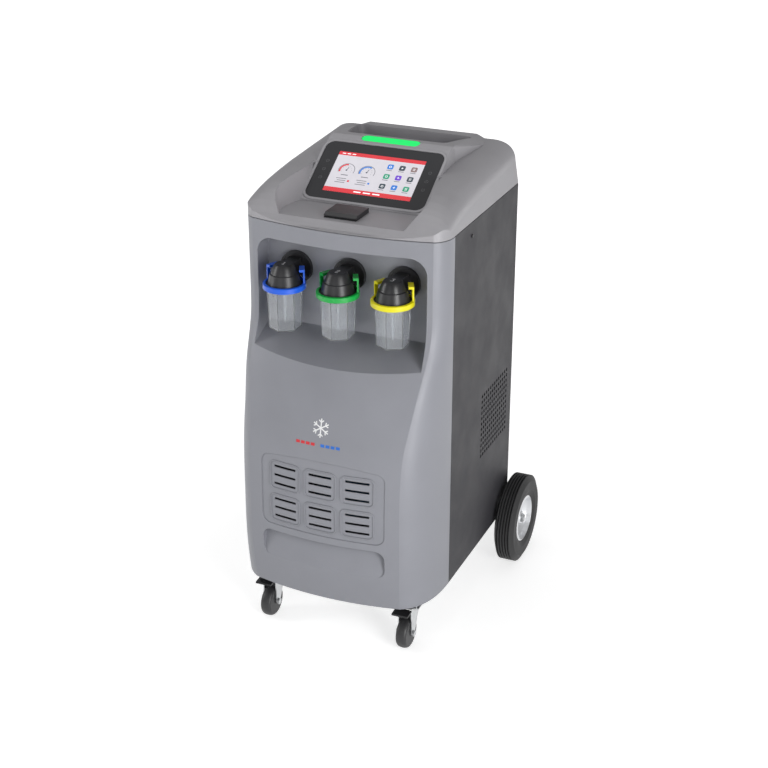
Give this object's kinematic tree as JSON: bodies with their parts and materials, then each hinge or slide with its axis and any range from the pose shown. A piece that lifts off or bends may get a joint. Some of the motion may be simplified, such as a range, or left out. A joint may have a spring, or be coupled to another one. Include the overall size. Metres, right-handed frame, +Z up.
{
  "type": "air conditioning recharge station",
  "caption": "Wheeled vehicle air conditioning recharge station with a bowed front cover, oil bottles in a recess, a tilted touch panel, rear wheels and braked castors.",
  "frame": {"origin": "on the floor under the middle of the overall box", "axes": "+Z up, front with the bottles faces -Y, +X to the right seen from behind the camera at the front"},
  "size_m": [0.6326, 0.7323, 1.176],
  "materials": {
    "console_plastic": "satin",
    "cover_plastic": "satin",
    "panel_paint": "satin",
    "frame_paint": "matte",
    "zinc": "satin",
    "steel": "satin",
    "black_plastic": "satin",
    "bezel_glass": "gloss",
    "screen_glass": "gloss",
    "light_lens": "gloss",
    "paper": "matte",
    "clear_vessel": "gloss",
    "blue_plastic": "satin",
    "green_plastic": "satin",
    "yellow_plastic": "satin",
    "tyre_rubber": "matte",
    "rim_paint": "gloss",
    "castor_tread": "satin",
    "cylinder_paint": "gloss",
    "machine_black": "satin",
    "alloy": "satin"
  },
  "bodies": {
    "station": {"chassis_frame": "frame_paint", "upright_frame": "frame_paint", "base_pan": "zinc", "front_cover": "cover_plastic", "top_console": "console_plastic", "side_panel_left": "panel_paint", "side_panel_right": "panel_paint", "rear_panel": "panel_paint", "tablet_housing": "bezel_glass", "tablet_screen": "screen_glass", "light_bar": "light_lens", "printer_body": "black_plastic", "paper_roll": "paper", "printer_hinge_pin": "steel", "bottle_coupler_1": "black_plastic", "bottle_coupler_2": "black_plastic", "bottle_coupler_3": "black_plastic", "rear_axle": "steel", "axle_nuts": "zinc", "castor_plate_left": "zinc", "castor_plate_right": "zinc", "castor_bolts": "zinc", "panel_screws": "zinc", "refrigerant_cylinder": "cylinder_paint", "scale_platform": "alloy", "compressor": "machine_black", "vacuum_pump": "machine_black", "solenoid_manifold": "alloy", "condenser_coil": "alloy", "fan_shroud": "black_plastic", "service_port_low": "steel", "service_port_high": "steel", "power_inlet": "black_plastic"},
    "printer_flap": {"printer_lid": "black_plastic"},
    "switch_rocker": {"rocker_switch": "black_plastic"},
    "cooling_fan": {"fan_rotor": "black_plastic"},
    "bottle_1": {"bottle_cap_1": "black_plastic", "bottle_collar_1": "blue_plastic", "bottle_vessel_1": "clear_vessel", "dip_tube_1": "clear_vessel"},
    "bottle_2": {"bottle_cap_2": "black_plastic", "bottle_collar_2": "green_plastic", "bottle_vessel_2": "clear_vessel", "dip_tube_2": "clear_vessel"},
    "bottle_3": {"bottle_cap_3": "black_plastic", "bottle_collar_3": "yellow_plastic", "bottle_vessel_3": "clear_vessel", "dip_tube_3": "clear_vessel"},
    "rear_wheel_left": {"tyre_left": "tyre_rubber", "rim_left": "rim_paint"},
    "castor_left": {"castor_fork_left": "zinc", "castor_axle_left": "zinc"},
    "castor_roller_left": {"castor_wheel_left": "castor_tread"},
    "castor_pedal_left": {"castor_brake_left": "black_plastic"},
    "rear_wheel_right": {"tyre_right": "tyre_rubber", "rim_right": "rim_paint"},
    "castor_right": {"castor_fork_right": "zinc", "castor_axle_right": "zinc"},
    "castor_roller_right": {"castor_wheel_right": "castor_tread"},
    "castor_pedal_right": {"castor_brake_right": "black_plastic"}
  },
  "joints": [
    {"name": "bottle_1_pull", "type": "slide", "parent": "station", "child": "bottle_1", "axis": [0, -1, 0], "range_m": [0, 0.04]},
    {"name": "bottle_2_pull", "type": "slide", "parent": "station", "child": "bottle_2", "axis": [0, -1, 0], "range_m": [0, 0.04]},
    {"name": "bottle_3_pull", "type": "slide", "parent": "station", "child": "bottle_3", "axis": [0, -1, 0], "range_m": [0, 0.04]},
    {"name": "printer_lid_hinge", "type": "hinge", "parent": "station", "child": "printer_flap", "pos_m": [-0.009, -0.1355, 1.0661], "axis": [-1, 0, 0], "range_deg": [0, 95]},
    {"name": "power_switch_rocker", "type": "hinge", "parent": "station", "child": "switch_rocker", "pos_m": [0.168, 0.2588, 0.23], "axis": [1, 0, 0], "range_deg": [0, 16]},
    {"name": "fan_spin", "type": "hinge", "parent": "station", "child": "cooling_fan", "pos_m": [0.2065, 0.134, 0.4725], "axis": [1, 0, 0], "continuous": true},
    {"name": "rear_wheel_spin_left", "type": "hinge", "parent": "station", "child": "rear_wheel_left", "pos_m": [-0.2893, 0.2486, 0.1176], "axis": [1, 0, 0], "continuous": true},
    {"name": "castor_swivel_left", "type": "hinge", "parent": "station", "child": "castor_left", "pos_m": [-0.185, -0.242, 0.113], "axis": [0, 0, 1], "continuous": true},
    {"name": "castor_spin_left", "type": "hinge", "parent": "castor_left", "child": "castor_roller_left", "pos_m": [-0.185, -0.272, 0.04], "axis": [1, 0, 0], "continuous": true},
    {"name": "castor_brake_pedal_left", "type": "hinge", "parent": "castor_left", "child": "castor_pedal_left", "pos_m": [-0.185, -0.27, 0.096], "axis": [1, 0, 0], "range_deg": [0, 12]},
    {"name": "rear_wheel_spin_right", "type": "hinge", "parent": "station", "child": "rear_wheel_right", "pos_m": [0.2893, 0.2486, 0.1176], "axis": [1, 0, 0], "continuous": true},
    {"name": "castor_swivel_right", "type": "hinge", "parent": "station", "child": "castor_right", "pos_m": [0.185, -0.242, 0.113], "axis": [0, 0, 1], "continuous": true},
    {"name": "castor_spin_right", "type": "hinge", "parent": "castor_right", "child": "castor_roller_right", "pos_m": [0.185, -0.272, 0.04], "axis": [1, 0, 0], "continuous": true},
    {"name": "castor_brake_pedal_right", "type": "hinge", "parent": "castor_right", "child": "castor_pedal_right", "pos_m": [0.185, -0.27, 0.096], "axis": [1, 0, 0], "range_deg": [0, 12]}
  ]
}
